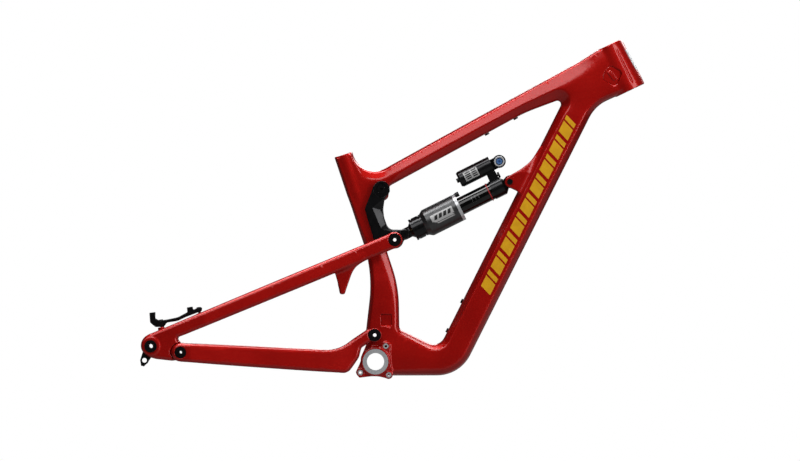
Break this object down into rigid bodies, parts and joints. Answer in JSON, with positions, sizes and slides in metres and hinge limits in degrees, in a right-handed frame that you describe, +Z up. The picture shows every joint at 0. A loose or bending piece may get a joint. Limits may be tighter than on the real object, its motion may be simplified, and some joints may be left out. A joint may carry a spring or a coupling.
{
  "type": "bicycle frame",
  "caption": "Full-suspension mountain bike frame in red with a two-sided rocker link, an air shock with a side reservoir, and a pivoting rear triangle with thru-axle dropouts.",
  "frame": {"origin": "centre of the bottom bracket shell", "axes": "+X forward, +Y along the bottom bracket axis to the rider's left, +Z up"},
  "size_m": [0.986, 0.1836, 0.6654],
  "materials": {
    "painted_frame": "gloss",
    "silver_aluminium": "satin",
    "black_aluminium": "satin",
    "grey_can": "satin",
    "black_stanchion": "gloss",
    "blue_aluminium": "gloss",
    "steel": "satin",
    "bronze_bushing": "satin",
    "red_rubber": "satin",
    "port_plastic": "gloss"
  },
  "bodies": {
    "front_triangle": {"head_tube": "painted_frame", "top_tube": "painted_frame", "down_tube": "painted_frame", "seat_tube": "painted_frame", "seat_yoke": "painted_frame", "bb_junction": "painted_frame", "shock_ears": "painted_frame", "upper_headset_seat": "silver_aluminium", "lower_headset_seat": "silver_aluminium", "bb_shell": "silver_aluminium", "chainguide_inserts": "silver_aluminium", "head_badge": "silver_aluminium", "cable_port_covers": "port_plastic", "seat_port_plugs": "port_plastic", "bottle_bolts": "black_aluminium", "main_pivot_axle": "black_aluminium", "main_pivot_caps": "black_aluminium", "rocker_axle": "black_aluminium", "shock_front_bolt": "black_aluminium"},
    "chainstay": {"chainstay_drive": "painted_frame", "chainstay_brake": "painted_frame", "chainstay_yoke": "painted_frame", "main_pivot_bearings": "steel", "horst_bearings": "steel"},
    "seatstay": {"seatstay_drive": "painted_frame", "seatstay_brake": "painted_frame", "dropout_drive": "painted_frame", "dropout_brake": "painted_frame", "seatstay_bridge": "painted_frame", "horst_bolts": "black_aluminium", "upper_pivot_bearings": "steel", "upper_pivot_bolts": "black_aluminium", "derailleur_hanger": "black_aluminium", "hanger_bolt": "black_aluminium", "thru_axle": "black_aluminium", "brake_adapter": "black_aluminium", "adapter_bolts": "steel"},
    "rocker": {"rocker_link": "black_aluminium", "rocker_bearings": "steel", "rocker_caps": "black_aluminium", "shock_rear_bolts": "black_aluminium"},
    "shock_body": {"damper_head": "black_aluminium", "damper_tube": "black_stanchion", "air_piston": "black_aluminium", "reservoir": "black_aluminium", "reservoir_cap": "black_aluminium", "front_bushing": "bronze_bushing"},
    "shock_can": {"rear_eyelet": "black_aluminium", "rear_bushing": "bronze_bushing", "can_sleeve": "black_aluminium", "air_can": "grey_can", "seal_head": "silver_aluminium", "air_valve": "black_aluminium", "damper_shaft": "steel", "damper_piston": "silver_aluminium"},
    "gas_piston": {"floating_piston": "silver_aluminium"},
    "ring_slider": {"travel_ring": "red_rubber"},
    "compression_knob": {"compression_dial": "black_aluminium"},
    "compression_adjuster": {"compression_hex": "blue_aluminium"},
    "rebound_knob": {"rebound_dial": "black_aluminium"}
  },
  "joints": [
    {"name": "rear_travel", "type": "hinge", "parent": "front_triangle", "child": "chainstay", "pos_m": [-0.0015, 0, 0.052], "axis": [0, 1, 0], "range_deg": [0, 23], "stiffness_Nm_per_rad": 2000, "springref_deg": -1.15},
    {"name": "horst_pivot", "type": "hinge", "parent": "chainstay", "child": "seatstay", "pos_m": [-0.381, 0, 0.0185], "axis": [0, 1, 0], "range_deg": [-8.73, 0]},
    {"name": "rocker_pivot", "type": "hinge", "parent": "front_triangle", "child": "rocker", "pos_m": [0.0116, 0, 0.3375], "axis": [0, 1, 0], "range_deg": [-40.73, 0]},
    {"name": "shock_swing", "type": "hinge", "parent": "front_triangle", "child": "shock_body", "pos_m": [0.263, 0, 0.352], "axis": [0, 1, 0], "range_deg": [0, 8.58]},
    {"name": "shock_stroke", "type": "slide", "parent": "shock_body", "child": "shock_can", "axis": [0.8948, 0, 0.4465], "range_m": [0, 0.0625]},
    {"name": "gas_piston_slide", "type": "slide", "parent": "shock_body", "child": "gas_piston", "axis": [-0.8948, 0, -0.4465], "range_m": [0, 0.0107]},
    {"name": "travel_ring_slide", "type": "slide", "parent": "shock_body", "child": "ring_slider", "axis": [0.8948, 0, 0.4465], "range_m": [0, 0.005]},
    {"name": "compression_turn", "type": "hinge", "parent": "shock_body", "child": "compression_knob", "pos_m": [0.24201, -0.016, 0.39182], "axis": [0, -1, 0], "range_deg": [0, 150]},
    {"name": "high_speed_turn", "type": "hinge", "parent": "shock_body", "child": "compression_adjuster", "pos_m": [0.24201, -0.018, 0.39182], "axis": [0, -1, 0], "range_deg": [0, 180]},
    {"name": "rebound_turn", "type": "hinge", "parent": "shock_body", "child": "rebound_knob", "pos_m": [0.24065, 0, 0.36543], "axis": [0.8948, 0, 0.4465], "range_deg": [0, 270]}
  ],
  "couplings": [
    {"joint": "horst_pivot", "follows": "rear_travel", "ratio": -0.37956},
    {"joint": "rocker_pivot", "follows": "rear_travel", "ratio": -1.7709},
    {"joint": "shock_swing", "follows": "rear_travel", "ratio": 0.37304},
    {"joint": "shock_stroke", "follows": "rear_travel", "m_per_rad": 0.1557},
    {"joint": "gas_piston_slide", "follows": "rear_travel", "m_per_rad": 0.026654}
  ]
}
